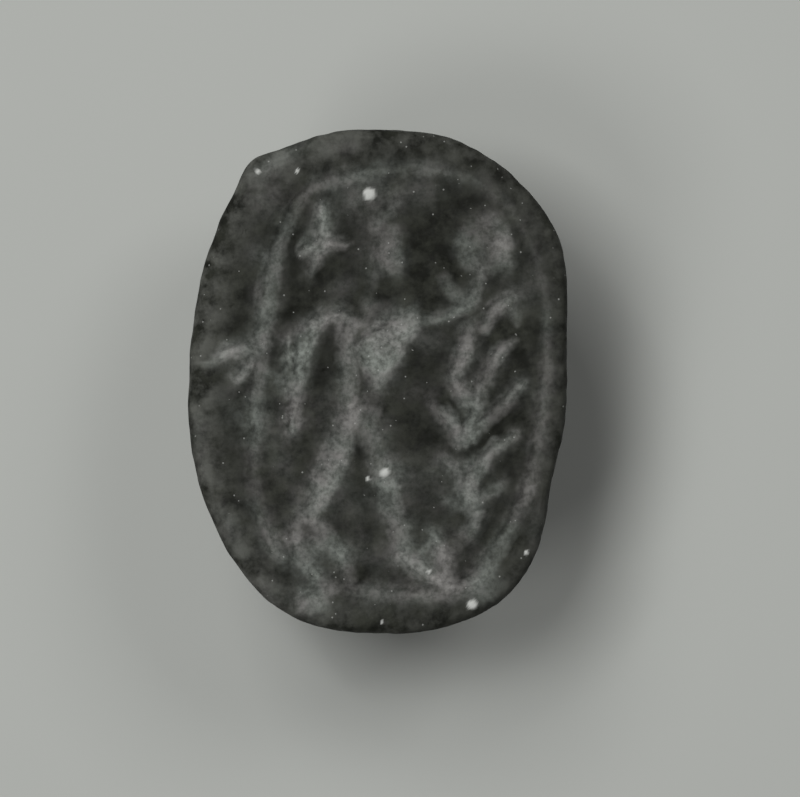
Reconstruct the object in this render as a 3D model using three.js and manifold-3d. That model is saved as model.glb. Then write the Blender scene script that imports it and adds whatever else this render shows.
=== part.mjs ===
// A scarab seal: one small carved stone, pierced from end to end for a thread or a ring's pivot.
// It lies on its beetle back, with the engraved sealing face up. Millimetres, +Z up, the beetle's
// head towards +Y, and the origin under the middle of the stone, on the surface it lies on.
//
// From the top down the stone has a flat sealing face with a worn, rounded edge, a plinth, a
// flank with three legs on each side, and a domed back with prothorax, wing cases and head.
import * as THREE from "three";
import { mergeVertices } from "three/addons/utils/BufferGeometryUtils.js";
import Module from "manifold-3d";

const wasm = await Module();
wasm.setup();

// ---- driving dimensions ----
const HALF_WIDTH = 7.5;
const HALF_LENGTH = 9.96;
const HEIGHT = 8.8;
const SQUARENESS = 2.5; // exponent of the outline's superellipse
const AROUND = 64; // facets round the stone

// The hand-cut outline swells and flattens: where, by how much, and over how many degrees.
const OUTLINE_SWELLS = [
  { at: 38, by: 0.45, over: 17 },
  { at: 120, by: 0.37, over: 5.5 },
  { at: 145, by: -0.24, over: 28 },
  { at: 228, by: -0.3, over: 22 },
  { at: 302, by: 0.22, over: 13 },
  { at: 331, by: -0.3, over: 13 },
];

const SIDE_TAPER = 0.04; // how far the plinth's side leans in
// The plinth's lower edge is cut back, and its underside slopes in to the flank.
const PLINTH = { thick: 1.95, edge: 0.3, edgeInset: 0.18, underInset: 1.2, underDrop: 0.12 };
// The face's rounded edge is widest where the stone is most worn.
const WORN_EDGE = { least: 0.35, most: 1.25, towards: 170, drop: 0.32, dropShare: 0.28 };
const FLANK = { inset: 1.35, low: 4.6 };
const BORE = { radius: 0.8, z: 5.75, facets: 24 };

const BACK = { halfWidth: 6.55, halfLength: 7.75, y: -1.35, rimZ: 5.35, squareness: 2.3, roundness: 2.2 };
const REST_FLAT = 0.3; // how much of the dome's crown is worn away flat
const BACK_TOP = { lift: 0.9, share: 0.85 }; // the dome closes inside the flank, above its rim
const BACK_LINE = { depth: 0.28, width: 0.34, top: 4.2 };
const PROTHORAX = { y: 2.9, bow: 1.2, reach: 7 };
const SHOULDER = [[6.5, -0.6], [4.6, 0.6], [3.3, 2.6]];

const HEAD = {
  neck: { y: 5.2, halfWidth: 3.7, low: 2.3 },
  brow: { y: 7.5, halfWidth: 3.1, low: 3.7 },
  lip: { y: 9.3, halfWidth: 2.5, low: 4.1 },
  top: 7.1,
  bulge: 0.12,
  squareness: 0.8,
};
const EYE = { radius: 0.85, x: 2.75, y: 7.3, z: 4.95 };
const CLYPEUS_NOTCH = { width: 0.5, depth: 0.45, spacing: 1.15, steps: [-1, 0, 1] };

// Each leg runs along the flank between two bearings, in degrees from +X, dropping in height.
const LEG_RADIUS = 0.66;
const LEG_INSET = 0.98;
const LEGS = [
  { name: "fore", start: [24, 5.0], end: [72, 6.25] },
  { name: "middle", start: [20, 5.0], end: [-14, 6.3] },
  { name: "hind", start: [-20, 5.0], end: [-76, 6.25] },
];

// ---- the engraving on the sealing face: a striding figure holding a branch, in a border line ----
const CUT = { deep: 0.5, middling: 0.38, shallow: 0.26 };
const FLOOR_SHARE = 0.4; // how wide a cut's floor is, as a share of its mouth

// The border line, clockwise from the middle of the left side: where it passes, and how wide it is.
const BORDER = [
  { at: [-4.75, 0.0], width: 0.5 },
  { at: [-4.5, 2.2], width: 0.65 },
  { at: [-4.25, 4.0], width: 0.8 },
  { at: [-3.65, 6.1], width: 0.5 },
  { at: [-2.6, 7.6], width: 0.5 },
  { at: [-1.0, 8.15], width: 0.5 },
  { at: [0.8, 8.4], width: 0.46 },
  { at: [2.7, 8.3], width: 0.4 },
  { at: [4.6, 7.45], width: 0.28 },
  { at: [6.0, 5.6], width: 0.24 },
  { at: [6.65, 3.1], width: 0.3 },
  { at: [6.65, 0.6], width: 0.48 },
  { at: [6.45, -1.8], width: 0.52 },
  { at: [6.0, -4.0], width: 0.56 },
  { at: [5.1, -6.0], width: 0.6 },
  { at: [3.75, -7.85], width: 0.76 },
  { at: [1.6, -8.4], width: 0.56 },
  { at: [-0.6, -8.15], width: 0.46 },
  { at: [-2.6, -7.55], width: 0.46 },
  { at: [-4.2, -6.4], width: 0.5 },
  { at: [-4.85, -4.3], width: 0.42 },
  { at: [-4.85, -2.1], width: 0.5 },
];
const BORDER_DEPTH_SHARE = 0.6; // of its width

// Each stroke is a curve from its first point to its third, pulled towards its second, with its width
// at each end and its depth.
const stroke = (name, path, width, depth) => ({ name, path, width, depth });
const STROKES = [
  stroke("neck", [[-0.1, 4.3], [-0.3, 3.3], [-0.5, 2.3]], [0.36, 0.4], CUT.shallow),
  stroke("back", [[-1.2, 2.35], [-1.3, 0.65], [-1.0, -1.7]], [0.62, 0.8], CUT.middling),
  stroke("waist", [[0.2, 0.6], [-0.2, -0.8], [-0.7, -2.1]], [0.85, 0.8], CUT.shallow),
  stroke("rear upper arm", [[-0.8, 2.3], [-2.1, 3.25], [-2.9, 1.6]], [0.5, 0.6], CUT.deep),
  stroke("rear forearm", [[-2.85, 1.8], [-3.1, 0.3], [-3.35, -1.95]], [0.64, 0.42], CUT.deep),
  stroke("sleeve", [[-3.5, 1.8], [-3.6, 0.7], [-3.3, -0.5]], [0.34, 0.5], CUT.middling),
  stroke("sling", [[-4.7, 0.7], [-4.1, 0.2], [-3.5, -0.4]], [0.28, 0.34], CUT.shallow),
  stroke("front arm", [[1.5, 2.5], [2.9, 2.3], [3.75, 3.25]], [0.4, 0.46], CUT.middling),
  stroke("front hand", [[3.6, 3.0], [3.9, 3.6], [4.1, 4.4]], [0.5, 0.3], CUT.middling),
  stroke("thumb", [[2.7, 4.1], [2.9, 3.5], [3.5, 3.1]], [0.4, 0.36], CUT.shallow),
  stroke("headdress", [[-0.1, 6.15], [0.3, 6.6], [0.8, 7.1]], [0.6, 0.4], CUT.shallow),
  stroke("mark upright", [[-2.15, 6.9], [-2.1, 6.1], [-2.2, 5.4]], [0.36, 0.56], CUT.deep),
  stroke("mark bar", [[-2.85, 5.25], [-2.15, 5.65], [-1.2, 5.4]], [0.56, 0.3], CUT.deep),
  stroke("mark tail", [[-2.4, 5.4], [-2.4, 4.9], [-2.6, 4.3]], [0.56, 0.3], CUT.middling),
  stroke("branch head", [[3.65, 2.2], [3.6, 1.2], [2.95, 0.2]], [0.6, 0.55], CUT.middling),
  stroke("branch bend", [[2.95, 0.3], [3.1, -0.35], [3.9, -0.85]], [0.52, 0.6], CUT.middling),
  stroke("branch stem", [[4.0, -0.15], [4.0, -1.1], [3.3, -2.35]], [0.5, 0.5], CUT.middling),
  stroke("branch foot", [[3.7, -3.6], [3.3, -4.3], [3.85, -5.1]], [0.6, 0.7], CUT.deep),
  stroke("branch root", [[3.9, -4.9], [3.9, -5.4], [3.5, -6.0]], [0.6, 0.34], CUT.middling),
  stroke("tip leaf", [[4.15, 2.15], [4.4, 2.75], [5.15, 3.2]], [0.5, 0.46], CUT.middling),
  stroke("tip hook", [[4.95, 3.15], [5.4, 2.95], [5.5, 2.25]], [0.4, 0.26], CUT.shallow),
  stroke("right leaf 1", [[5.45, 1.7], [4.5, 1.1], [4.3, 0.0]], [0.32, 0.52], CUT.middling),
  stroke("right leaf 2", [[5.65, -0.15], [4.9, -1.1], [3.3, -2.3]], [0.34, 0.62], CUT.middling),
  stroke("right leaf 3", [[5.35, -2.1], [4.2, -2.8], [3.75, -3.8]], [0.34, 0.58], CUT.middling),
  stroke("right leaf 4", [[4.9, -4.05], [4.4, -4.25], [3.95, -4.7]], [0.3, 0.44], CUT.shallow),
  stroke("left leaf 2", [[2.3, -1.0], [3.0, -1.35], [3.3, -2.3]], [0.4, 0.62], CUT.middling),
  stroke("left leaf 3", [[2.65, -3.05], [3.1, -3.3], [3.5, -4.2]], [0.34, 0.5], CUT.shallow),
  stroke("left leaf 4", [[2.7, -4.65], [3.2, -4.85], [3.7, -5.25]], [0.26, 0.36], CUT.shallow),
  stroke("rear thigh", [[-1.0, -1.3], [-1.5, -2.7], [-2.1, -4.0]], [0.9, 1.1], CUT.deep),
  stroke("rear shin", [[-2.0, -3.7], [-2.25, -4.4], [-2.65, -5.35]], [1.0, 0.7], CUT.deep),
  stroke("front leg", [[-0.55, -1.9], [0.45, -3.7], [1.0, -6.9]], [0.75, 0.78], CUT.middling),
  stroke("rear heel", [[-2.9, -5.2], [-3.7, -6.4], [-2.5, -7.6]], [0.6, 0.46], CUT.middling),
  stroke("rear foot", [[-2.3, -5.6], [-1.5, -6.5], [-1.1, -7.8]], [0.62, 0.5], CUT.middling),
  stroke("front foot", [[0.95, -6.8], [1.6, -7.4], [2.85, -8.05]], [0.66, 0.56], CUT.deep),
  stroke("heel sliver", [[2.25, -6.05], [2.0, -6.5], [1.5, -6.95]], [0.28, 0.42], CUT.shallow),
  stroke("heel wedge", [[2.25, -6.05], [2.75, -6.8], [2.7, -7.8]], [0.38, 0.74], CUT.middling),
  stroke("toe", [[2.8, -7.7], [3.1, -7.8], [3.5, -8.0]], [0.5, 0.5], CUT.shallow),
  stroke("side chip", [[-6.75, 0.75], [-6.0, 1.3], [-4.7, 1.3]], [0.3, 0.6], CUT.middling),
  stroke("side chip fork", [[-4.75, 1.3], [-4.95, 0.6], [-5.5, 0.15]], [0.46, 0.3], CUT.middling),
  stroke("foot chip", [[-1.9, -8.2], [-2.4, -8.5], [-3.1, -8.8]], [0.6, 0.6], CUT.shallow),
];

// Hollows cut wider than a stroke.
const ROUND_HOLLOWS = [
  { name: "disc", centre: [4.2, 5.4], halfWidth: 1.05, halfLength: 1.2, tilt: 0, depth: CUT.middling },
  { name: "head", centre: [0.4, 5.2], halfWidth: 0.62, halfLength: 1.03, tilt: 8, depth: CUT.middling },
  { name: "chip", centre: [-2.4, -8.65], halfWidth: 0.55, halfLength: 0.45, tilt: 20, depth: CUT.middling },
];
// The corners that a cut area's outline curves through, anticlockwise.
const CHEST = [
  [-0.7, 1.6],
  [-0.55, 0.5],
  [-0.1, -0.3],
  [0.35, -0.1],
  [0.8, 0.8],
  [1.2, 1.6],
  [1.75, 2.45],
  [1.4, 2.85],
  [0.5, 2.45],
];
const ANKLE = [
  [-2.85, -5.2],
  [-3.35, -6.2],
  [-2.9, -6.95],
  [-2.2, -6.6],
  [-1.5, -6.9],
  [-1.8, -6.0],
  [-2.25, -5.3],
];
const AREAS = [
  { corners: CHEST, depth: CUT.deep },
  { corners: ANKLE, depth: CUT.shallow },
];

// ---- small helpers ----
const radians = THREE.MathUtils.degToRad;

function superellipseRadius(angle, halfWidth, halfLength, squareness) {
  const across = Math.abs(Math.cos(angle) / halfWidth) ** squareness;
  const along = Math.abs(Math.sin(angle) / halfLength) ** squareness;
  return (across + along) ** (-1 / squareness);
}

function swell(degrees, { at, by, over }) {
  const away = THREE.MathUtils.euclideanModulo(degrees - at + 180, 360) - 180;
  return by * Math.exp(-((away / over) ** 2));
}

// How far the stone's rim is from its axis at a bearing in degrees.
function rimRadius(degrees) {
  const plain = superellipseRadius(radians(degrees), HALF_WIDTH, HALF_LENGTH, SQUARENESS);
  return OUTLINE_SWELLS.reduce((sum, bump) => sum + swell(degrees, bump), plain);
}

function rimPoint(degrees, inset, z) {
  const radius = rimRadius(degrees) - inset;
  return new THREE.Vector3(radius * Math.cos(radians(degrees)), radius * Math.sin(radians(degrees)), z);
}

const bearings = Array.from({ length: AROUND }, (_, i) => (i * 360) / AROUND);

function wornEdgeWidth(degrees) {
  const facing = Math.max(0, Math.cos(radians(degrees - WORN_EDGE.towards)));
  return WORN_EDGE.least + (WORN_EDGE.most - WORN_EDGE.least) * facing ** 1.5;
}

function wornEdgeDrop(degrees) {
  return WORN_EDGE.drop + WORN_EDGE.dropShare * wornEdgeWidth(degrees);
}

// A three.js geometry as a manifold-3d solid, and back.
function solidOf(geometry) {
  const bare = geometry.index ? geometry.toNonIndexed() : geometry.clone();
  bare.deleteAttribute("normal");
  bare.deleteAttribute("uv");
  const merged = mergeVertices(bare, 1e-4);
  return new wasm.Manifold(
    new wasm.Mesh({
      numProp: 3,
      vertProperties: new Float32Array(merged.attributes.position.array),
      triVerts: new Uint32Array(merged.index.array),
    }),
  );
}

function geometryOf(solid) {
  const { numProp, vertProperties, triVerts } = solid.getMesh();
  const count = vertProperties.length / numProp;
  const positions = new Float32Array(count * 3);
  for (let i = 0; i < count; i++) positions.set(vertProperties.subarray(i * numProp, i * numProp + 3), i * 3);
  const geometry = new THREE.BufferGeometry();
  geometry.setAttribute("position", new THREE.BufferAttribute(positions, 3));
  geometry.setIndex(new THREE.BufferAttribute(triVerts, 1));
  return geometry;
}

function union(solids) {
  return solids.reduce((whole, solid) => whole.add(solid));
}

// A closed skin through loops of points that run anticlockwise seen from where the skin starts.
function loft(loops) {
  const size = loops[0].length;
  const points = loops.flat();
  const faces = [];
  for (let k = 0; k + 1 < loops.length; k++) {
    for (let i = 0; i < size; i++) {
      const a = k * size + i;
      const b = k * size + ((i + 1) % size);
      faces.push(a, a + size, b, b, a + size, b + size);
    }
  }
  const ends = [
    [loops[0], 0, true],
    [loops.at(-1), (loops.length - 1) * size, false],
  ];
  for (const [loop, start, first] of ends) {
    const hub = points.length;
    points.push(loop.reduce((sum, p) => sum.add(p), new THREE.Vector3()).divideScalar(size));
    for (let i = 0; i < size; i++) {
      const a = start + i;
      const b = start + ((i + 1) % size);
      faces.push(...(first ? [hub, a, b] : [hub, b, a]));
    }
  }
  const geometry = new THREE.BufferGeometry().setFromPoints(points);
  geometry.setIndex(faces);
  return solidOf(geometry);
}

// ---- the stone's body ----
function plinthAndFlank() {
  const edgeTurns = [0, 30, 60, 90].map(radians);
  const loops = edgeTurns.map((turn) =>
    bearings.map((degrees) =>
      rimPoint(
        degrees,
        wornEdgeWidth(degrees) * (1 - Math.sin(turn)),
        HEIGHT - wornEdgeDrop(degrees) * (1 - Math.cos(turn)),
      ),
    ),
  );
  const bottom = HEIGHT - PLINTH.thick;
  for (const [inset, z] of [
    [SIDE_TAPER, bottom + PLINTH.edge],
    [PLINTH.edgeInset, bottom],
    [PLINTH.underInset, bottom - PLINTH.underDrop],
    [FLANK.inset, FLANK.low],
  ]) {
    loops.push(bearings.map((degrees) => rimPoint(degrees, inset, z)));
  }
  return loft(loops);
}

// The domed back, smaller all round by an inset.
function dome(inset = 0) {
  const turns = [0, 12, 25, 38, 50, 61, 71, 80, 86].map(radians);
  const height = BACK.rimZ + REST_FLAT - inset;
  const ring = (share, z) =>
    bearings.map((degrees) => {
      const angle = radians(degrees);
      const radius =
        share * superellipseRadius(angle, BACK.halfWidth - inset, BACK.halfLength - inset, BACK.squareness);
      return new THREE.Vector3(radius * Math.cos(angle), BACK.y + radius * Math.sin(angle), z);
    });
  const loops = [ring(BACK_TOP.share, BACK.rimZ + BACK_TOP.lift)];
  for (const turn of turns) {
    const share = Math.cos(turn) ** (2 / BACK.roundness);
    loops.push(ring(share, BACK.rimZ - height * Math.sin(turn) ** (2 / BACK.roundness)));
  }
  return loft(loops);
}

function head() {
  const turns = Array.from({ length: 13 }, (_, i) => (i * Math.PI) / 12);
  const loops = [HEAD.neck, HEAD.brow, HEAD.lip].map(({ y, halfWidth, low }) =>
    turns.map(
      (turn) =>
        new THREE.Vector3(
          halfWidth * Math.cos(turn) * (1 + HEAD.bulge * Math.sin(turn)),
          y,
          HEAD.top - (HEAD.top - low) * Math.sin(turn) ** HEAD.squareness,
        ),
    ),
  );
  return loft(loops.reverse());
}

function eye(side) {
  const { radius, x, y, z } = EYE;
  return solidOf(new THREE.SphereGeometry(radius, 12, 6).translate(side * x, y, z));
}

// One leg lies along the flank as a rounded rib; mirrored for the stone's other side.
function leg({ start, end }, mirrored) {
  const spots = Array.from({ length: 5 }, (_, i) => {
    const share = i / 4;
    const degrees = THREE.MathUtils.lerp(start[0], end[0], share);
    const z = THREE.MathUtils.lerp(start[1], end[1], share);
    return rimPoint(mirrored ? 180 - degrees : degrees, LEG_INSET, z);
  });
  const section = new THREE.Shape().absellipse(0, 0, LEG_RADIUS, LEG_RADIUS, 0, Math.PI * 2);
  return solidOf(
    new THREE.ExtrudeGeometry(section, {
      extrudePath: new THREE.CatmullRomCurve3(spots),
      steps: 6,
      curveSegments: 4,
    }),
  );
}

function box(width, length, height, x, y, z) {
  return solidOf(new THREE.BoxGeometry(width, length, height).translate(x, y, z));
}

// ---- cuts ----
// A prism along a plan curve, from zTop down to zLow, with a half width at each.
function ribbon(samples, zTop, zLow) {
  return loft(
    samples.map(({ point, across, halfTop, halfLow }) => [
      new THREE.Vector3(point.x + across.x * halfTop, point.y + across.y * halfTop, zTop),
      new THREE.Vector3(point.x + across.x * halfLow, point.y + across.y * halfLow, zLow),
      new THREE.Vector3(point.x - across.x * halfLow, point.y - across.y * halfLow, zLow),
      new THREE.Vector3(point.x - across.x * halfTop, point.y - across.y * halfTop, zTop),
    ]),
  );
}

function pulledCurve([first, pull, last]) {
  return new THREE.QuadraticBezierCurve(...[first, pull, last].map(([x, y]) => new THREE.Vector2(x, y)));
}

const CUT_LIFT = 0.2; // how far cutters stand above the face
const STROKE_STEPS = 4;
const STROKE_END = { reach: 0.7, width: 0.45 }; // shares of the stroke's half width, for its blunt ends

// How wide a cut is at a height above the face, as a share of its width at the face.
function spreadAt(lift, depth) {
  return 1 + ((1 - FLOOR_SHARE) * lift) / depth;
}

function strokeCut({ path, width, depth }) {
  const curve = pulledCurve(path);
  const samples = Array.from({ length: STROKE_STEPS + 1 }, (_, i) => {
    const share = i / STROKE_STEPS;
    const tangent = curve.getTangent(share);
    const point = curve.getPoint(share);
    const half = THREE.MathUtils.lerp(width[0], width[1], share) / 2;
    const across = new THREE.Vector2(-tangent.y, tangent.x);
    return { point, tangent, across, halfTop: half * spreadAt(CUT_LIFT, depth), halfLow: half * FLOOR_SHARE };
  });
  const ends = [samples[0], samples.at(-1)].map(({ point, tangent, across, halfTop, halfLow }, i) => ({
    point: point.clone().addScaledVector(tangent, (i ? 1 : -1) * STROKE_END.reach * halfTop),
    across,
    halfTop: halfTop * STROKE_END.width,
    halfLow: halfLow * STROKE_END.width,
  }));
  return ribbon([ends[0], ...samples, ends[1]], HEIGHT + CUT_LIFT, HEIGHT - depth);
}

// How wide a hollow is part of the way down, and at its floor, as shares of its mouth.
const HOLLOW_FACETS = 18;
const HOLLOW_STEP = { wall: 0.86, down: 0.6, floor: 0.6 };

// A hollow with a sloping wall, from an outline that can be seen whole from its centre.
function hollowCut(outline, depth) {
  const centre = outline.reduce((sum, p) => sum.add(p), new THREE.Vector2()).divideScalar(outline.length);
  const levels = [
    [spreadAt(CUT_LIFT, depth) ** 0.5, CUT_LIFT],
    [HOLLOW_STEP.wall, -HOLLOW_STEP.down * depth],
    [HOLLOW_STEP.floor, -depth],
  ];
  return loft(
    levels.map(([share, lift]) =>
      outline.map((p) => {
        const spot = p.clone().sub(centre).multiplyScalar(share).add(centre);
        return new THREE.Vector3(spot.x, spot.y, HEIGHT + lift);
      }),
    ),
  );
}

function ellipseOutline({ centre, halfWidth, halfLength, tilt }) {
  const turn = radians(tilt);
  const curve = new THREE.EllipseCurve(...centre, halfWidth, halfLength, 0, 2 * Math.PI, false, turn);
  return curve.getPoints(HOLLOW_FACETS).slice(0, -1);
}

function closedCurve(points) {
  return new THREE.CatmullRomCurve3(points.map(([x, y]) => new THREE.Vector3(x, y, 0)), true);
}

function areaOutline(corners) {
  const points = closedCurve(corners).getPoints(corners.length * 2).slice(0, -1);
  return points.map(({ x, y }) => new THREE.Vector2(x, y));
}

// The border line is a ring: what lies inside its outer wall and outside its inner one.
function borderCut() {
  const curve = closedCurve(BORDER.map(({ at }) => at));
  const steps = BORDER.length * 2;
  const samples = Array.from({ length: steps }, (_, i) => {
    const place = (i * BORDER.length) / steps;
    const near = BORDER[Math.floor(place)].width;
    const next = BORDER[(Math.floor(place) + 1) % BORDER.length].width;
    const width = THREE.MathUtils.lerp(near, next, place % 1);
    const tangent = curve.getTangent(i / steps);
    const outward = new THREE.Vector3(-tangent.y, tangent.x, 0);
    return { point: curve.getPoint(i / steps), outward, half: width / 2, depth: width * BORDER_DEPTH_SHARE };
  }).reverse();
  // The inner wall reaches past the outer one at top and bottom, to leave a clean ring.
  const wall = (side, reach) => {
    const loop = (liftOf) =>
      samples.map(({ point, outward, half, depth }) => {
        const lift = reach * liftOf(depth);
        return point.clone().addScaledVector(outward, side * half * spreadAt(lift, depth)).setZ(HEIGHT + lift);
      });
    return loft([loop(() => CUT_LIFT), loop((depth) => -depth)]);
  };
  return wall(1, 1).subtract(wall(-1, 2));
}

function engraving() {
  return union([
    borderCut(),
    ...STROKES.map(strokeCut),
    ...ROUND_HOLLOWS.map((hollow) => hollowCut(ellipseOutline(hollow), hollow.depth)),
    ...AREAS.map(({ corners, depth }) => hollowCut(areaOutline(corners), depth)),
  ]);
}

// The lines on the back: thin upright walls that bite only the dome's outer skin.
function backLines() {
  const low = -REST_FLAT - 1;
  const half = BACK_LINE.width / 2;
  const tail = BACK.y - BACK.halfLength - 1;
  const wall = (path) => {
    const curve = pulledCurve(path);
    const samples = Array.from({ length: 9 }, (_, i) => {
      const tangent = curve.getTangent(i / 8);
      const across = new THREE.Vector2(-tangent.y, tangent.x);
      return { point: curve.getPoint(i / 8), across, halfTop: half, halfLow: half };
    });
    return ribbon(samples, BACK_LINE.top, low);
  };
  const { y, bow, reach } = PROTHORAX;
  const suture = wall([[0, y], [0, BACK.y], [0, tail]]);
  const prothorax = wall([[-reach, y - bow], [0, y + bow], [reach, y - bow]]);
  const shoulder = (side) => wall(SHOULDER.map(([across, along]) => [side * across, along]));
  return union([suture, prothorax, shoulder(1), shoulder(-1)]).subtract(dome(BACK_LINE.depth));
}

function clypeusNotches() {
  const { width, depth, spacing, steps } = CLYPEUS_NOTCH;
  const wedge = new THREE.Shape([
    new THREE.Vector2(0, -depth),
    new THREE.Vector2(width / 2, depth),
    new THREE.Vector2(-width / 2, depth),
  ]);
  const height = HEAD.top - HEAD.lip.low;
  return union(
    steps.map((step) =>
      solidOf(
        new THREE.ExtrudeGeometry(wedge, { depth: height, bevelEnabled: false }).translate(
          step * spacing,
          HEAD.lip.y,
          HEAD.lip.low - 1,
        ),
      ),
    ),
  );
}

function bore() {
  const { radius, z, facets } = BORE;
  return solidOf(new THREE.CylinderGeometry(radius, radius, 3 * HALF_LENGTH, facets).translate(0, 0, z));
}

function scarab() {
  const ribs = LEGS.flatMap((each) => [leg(each, false), leg(each, true)]);
  const whole = union([plinthAndFlank(), dome(), head(), eye(1), eye(-1), ...ribs]);
  const floor = box(40, 40, 4, 0, 0, -2);
  const cut = union([engraving(), backLines(), clypeusNotches(), bore(), floor]);
  return whole.subtract(cut);
}

// ---- the object ----
const stone = new THREE.MeshStandardMaterial({ color: 0x3d3e3a, roughness: 0.62, metalness: 0 });
const seal = new THREE.Mesh(geometryOf(scarab()), stone);
seal.name = "scarab";
seal.geometry.computeBoundingBox();
const middle = seal.geometry.boundingBox.getCenter(new THREE.Vector3());
seal.position.set(-middle.x, -middle.y, 0);

const object = new THREE.Group();
object.add(seal);
export default object;
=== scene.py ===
"""The looks of the scarab seal: a dark carved stone lying on its beetle back, with its engraved face up.

The stone is one mesh. Its plinth, with the engraved face, is a fine grid; the beetle below it is the
skin of a field of distances. The two are joined into one closed body. Forms are worked out in
millimetres, with the same sizes as the solid, and turned into metres when the mesh is made.
"""

import math
from itertools import product

import bpy
import numpy as np
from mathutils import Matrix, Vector


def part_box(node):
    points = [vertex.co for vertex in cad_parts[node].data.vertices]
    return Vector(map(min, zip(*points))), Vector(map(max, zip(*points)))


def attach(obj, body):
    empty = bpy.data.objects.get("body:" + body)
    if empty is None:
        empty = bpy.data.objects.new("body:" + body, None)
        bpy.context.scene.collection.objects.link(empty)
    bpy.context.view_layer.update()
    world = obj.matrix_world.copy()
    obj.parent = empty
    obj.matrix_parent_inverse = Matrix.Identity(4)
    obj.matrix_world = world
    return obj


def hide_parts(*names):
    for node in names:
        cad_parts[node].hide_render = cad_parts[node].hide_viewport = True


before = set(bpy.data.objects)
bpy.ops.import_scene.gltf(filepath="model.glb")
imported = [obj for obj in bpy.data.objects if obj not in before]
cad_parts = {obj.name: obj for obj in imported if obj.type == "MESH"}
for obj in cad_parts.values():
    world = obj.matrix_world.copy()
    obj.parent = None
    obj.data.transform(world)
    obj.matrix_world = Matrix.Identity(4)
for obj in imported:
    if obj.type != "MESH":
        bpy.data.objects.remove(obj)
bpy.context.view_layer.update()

# ---- the stone's form, in millimetres ----
HALF_WIDTH = 7.5
HALF_LENGTH = 9.96
HEIGHT = 8.8
SQUARENESS = 2.5  # exponent of the outline's superellipse
# Where the hand-cut outline swells or flattens: bearing in degrees, by how much, over how many degrees.
OUTLINE_SWELLS = [
    (38, 0.45, 17), (120, 0.37, 5.5), (145, -0.24, 28),
    (228, -0.3, 22), (302, 0.22, 13), (331, -0.3, 13),
]  # fmt: skip

# The face's worn edge: its least and greatest width, the bearing where it is widest, and how sharply
# it widens towards there. It drops by a fixed amount and by a share of its width.
EDGE_LEAST, EDGE_MOST, EDGE_TOWARDS, EDGE_FOCUS = 0.35, 1.25, 170, 1.5
EDGE_DROP, EDGE_DROP_SHARE = 0.32, 0.28

PLINTH_THICK = 1.95
SIDE_TAPER = 0.04  # how far the plinth's side leans in
PLINTH_FOOT = 0.3  # radius of the plinth's lower edge
# The plinth's underside, which the beetle hides: how far in, and how far below the plinth's foot.
UNDERSIDE = ((1.0, 0.08), (2.6, 0.1))

FACE_GRID = (176, 232)  # points across and along the face
EDGE_RINGS, SIDE_RINGS, FOOT_RINGS = 8, 5, 4  # rings of points round the plinth

# The domed back: its middle, half width, half length, the height of its rim, and how far the dome
# goes below and above the rim.
BACK_Y, BACK_WIDTH, BACK_LENGTH = -1.35, 6.55, 7.75
BACK_RIM_Z, BACK_DEEP, BACK_UP = 5.35, 5.65, 1.5
BACK_SQUARENESS, BACK_ROUNDNESS = 2.3, 2.2
BACK_LINE_DEPTH, BACK_LINE_HALF = 0.23, 0.2
BACK_LINE_END = 1.5  # where a line's slope ends, in half widths
PROTHORAX_Y, PROTHORAX_BOW, PROTHORAX_REACH = 2.9, 1.2, 7.0
SHOULDER = ((6.5, -0.6), (4.6, 0.6), (3.3, 2.6))  # start, pull and end of the line, on the right
FLANK_INSET, FLANK_LOW = 1.35, 4.6
BORE_RADIUS, BORE_Z = 0.8, 5.75

HEAD_Y = (5.2, 7.5, 9.3)  # neck, brow and lip
HEAD_HALF = (3.7, 3.1, 2.5)  # half widths there
HEAD_LOW = (2.3, 3.7, 4.1)  # how high its underside is there
HEAD_TOP, HEAD_SQUARENESS = 7.1, 2.4
EYE_AT, EYE_RADIUS = (2.75, 7.3, 4.95), 0.85
NOTCH_SPACING, NOTCH_HALF, NOTCH_DEEP = 1.15, 0.25, 0.5  # the three notches in the lip

LEG_RADIUS, LEG_INSET = 0.66, 0.98
LEG_NEAR = 1.3  # a leg has no say in the form further away than this
# Each leg: its first and last bearing in degrees, and its height at each.
LEGS = [((24, 5.0), (72, 6.25)), ((20, 5.0), (-14, 6.3)), ((-20, 5.0), (-76, 6.25))]

# How softly the beetle's forms run into each other.
FLANK_BLEND, HEAD_BLEND, LEG_BLEND, BORE_BLEND = 0.15, 0.2, 0.12, 0.15
LIP_BLEND, NOTCH_BLEND, EYE_BLEND = 0.4, 0.1, 0.12

BEETLE_STEP = 0.142  # the distance field's spacing
BEETLE_MARGIN = 0.6  # how far the field reaches past the outline
BEETLE_OVERLAP = 0.25  # how far the beetle goes up into the plinth
RELAX_ROUNDS = 4
SHARP_ANGLE = 60  # edges that bend by more degrees than this are shaded as sharp

# ---- the engraving: a striding figure holding a branch, in a border line ----
DEEP, MIDDLING, SHALLOW = 0.5, 0.38, 0.26

# The border line, clockwise from the middle of the left side: x, y and width.
BORDER = [
    (-4.75, 0.0, 0.5), (-4.5, 2.2, 0.65), (-4.25, 4.0, 0.8), (-3.65, 6.1, 0.5), (-2.6, 7.6, 0.5),
    (-1.0, 8.15, 0.5), (0.8, 8.4, 0.46), (2.7, 8.3, 0.4), (4.6, 7.45, 0.28), (6.0, 5.6, 0.24),
    (6.65, 3.1, 0.3), (6.65, 0.6, 0.48), (6.45, -1.8, 0.52), (6.0, -4.0, 0.56), (5.1, -6.0, 0.6),
    (3.75, -7.85, 0.76), (1.6, -8.4, 0.56), (-0.6, -8.15, 0.46), (-2.6, -7.55, 0.46),
    (-4.2, -6.4, 0.5), (-4.85, -4.3, 0.42), (-4.85, -2.1, 0.5),
]  # fmt: skip
BORDER_DEPTH_SHARE = 0.6

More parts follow.
